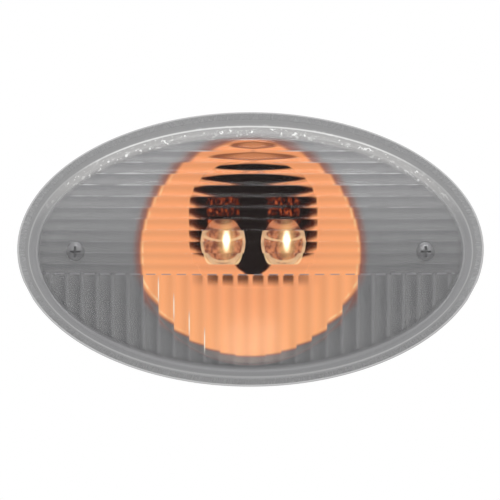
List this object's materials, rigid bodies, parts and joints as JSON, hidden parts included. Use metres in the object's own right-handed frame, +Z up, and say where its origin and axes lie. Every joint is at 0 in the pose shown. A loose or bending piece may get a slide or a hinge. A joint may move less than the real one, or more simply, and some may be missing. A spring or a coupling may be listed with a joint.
{
  "type": "hood marker lamp",
  "caption": "Oval amber marker lamp for a truck hood: clear fluted lens over a metallised reflector with a round lit bowl, rear studs and a plug socket.",
  "frame": {"origin": "middle of the line between the two studs, in the plane of the hood panel that the gasket meets", "axes": "+Y out of the back of the lamp along the studs, so the lens faces -Y; +X along the lamp's length; +Z up the lamp's face"},
  "size_m": [0.14, 0.053, 0.0824],
  "materials": {
    "lens_clear": "clear moulded polycarbonate, polished outside, fluted inside",
    "sealant": "cured silicone bead",
    "housing_plastic": "fine satin moulded",
    "metallised": "vacuum-metallised moulding, satin on the panel and lit amber in the bowl",
    "zinc_steel": "zinc-plated",
    "holder_plastic": "polished black",
    "optic_clear": "clear moulded, lit amber",
    "led_package": "lit package under a silicone dome",
    "board_mask": "white solder mask",
    "spreader_aluminium": "milled",
    "chip_plastic": "moulded package",
    "coil_ferrite": "pressed ferrite",
    "can_aluminium": "drawn can",
    "pin_metal": "tin-plated",
    "potting": "cured epoxy",
    "membrane": "white breather film",
    "gasket_foam": "closed-cell foam"
  },
  "bodies": {
    "root": {"outer_lens": "lens_clear", "lens_sealant": "sealant", "rear_housing": "housing_plastic", "reflector": "metallised", "reflector_screw_left": "zinc_steel", "reflector_screw_right": "zinc_steel", "led_holder": "holder_plastic", "optic_left": "optic_clear", "optic_right": "optic_clear", "led_left": "led_package", "led_right": "led_package", "circuit_board": "board_mask", "heat_spreader": "spreader_aluminium", "board_screw_left": "zinc_steel", "board_screw_right": "zinc_steel", "driver_chip": "chip_plastic", "driver_coil": "coil_ferrite", "filter_capacitor": "can_aluminium", "reverse_diode": "chip_plastic", "resistor_left": "chip_plastic", "resistor_right": "chip_plastic", "ground_pin": "pin_metal", "supply_pin": "pin_metal", "pin_potting": "potting", "vent_membrane": "membrane", "hood_gasket": "gasket_foam", "stud_left": "zinc_steel", "stud_right": "zinc_steel"}
  },
  "joints": []
}
